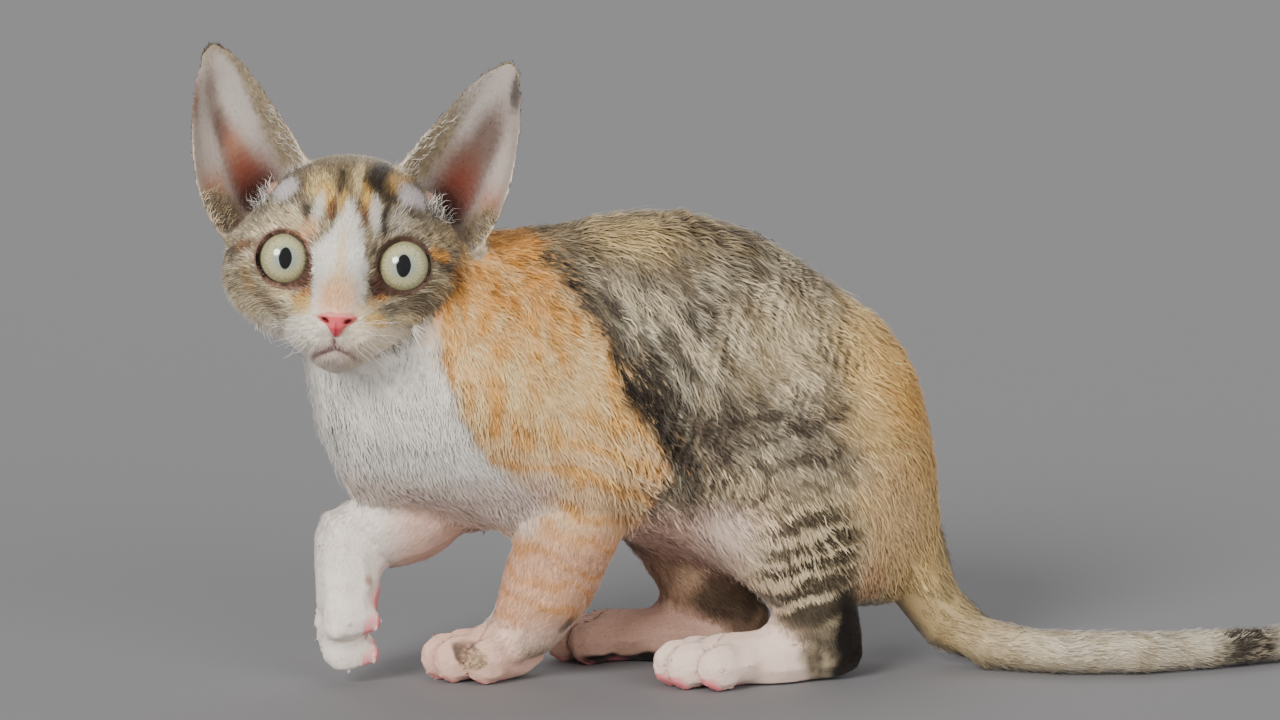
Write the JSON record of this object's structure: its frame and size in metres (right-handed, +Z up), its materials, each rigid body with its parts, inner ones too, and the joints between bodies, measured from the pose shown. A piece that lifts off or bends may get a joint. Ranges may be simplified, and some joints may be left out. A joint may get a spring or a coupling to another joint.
{
  "type": "devon rex kitten model",
  "caption": "Life-size still model of a devon rex kitten in mid step, head turned to its left, right forepaw lifted and tail laid on the floor.",
  "frame": {"origin": "on the floor, under the middle of the sole of the left hind foot", "axes": "-X is the way the body faces, -Y its left side, +Z up from the floor"},
  "size_m": [0.3901, 0.0898, 0.1986],
  "materials": {
    "ticked_coat": "short waved fur, grey-brown ticked, with orange, cream and black patches",
    "cream_coat": "short waved fur, cream to orange",
    "white_coat": "short soft white fur over pink skin",
    "face_coat": "very short fur, white blaze and muzzle between grey-brown tabby sides",
    "ear_skin": "thin ear, short brown fur behind and nearly bare pink skin inside",
    "nose_leather": "pink nose leather, finely pitted",
    "eye": "wet pale yellow-green iris with a dark upright pupil"
  },
  "bodies": {
    "root": {"torso": "ticked_coat", "neck": "cream_coat", "head": "face_coat", "nose": "nose_leather", "eye_left": "eye", "eye_right": "eye", "ear_left": "ear_skin", "ear_right": "ear_skin", "upper_arm_left": "cream_coat", "upper_arm_right": "white_coat", "forearm_left": "cream_coat", "forearm_right": "white_coat", "forepaw_left": "white_coat", "forepaw_right": "white_coat", "thigh_left": "ticked_coat", "thigh_right": "ticked_coat", "shin_left": "ticked_coat", "shin_right": "ticked_coat", "hindfoot_left": "white_coat", "hindfoot_right": "white_coat", "tail_root": "cream_coat", "tail_middle": "white_coat", "tail_tip": "white_coat"}
  },
  "joints": []
}
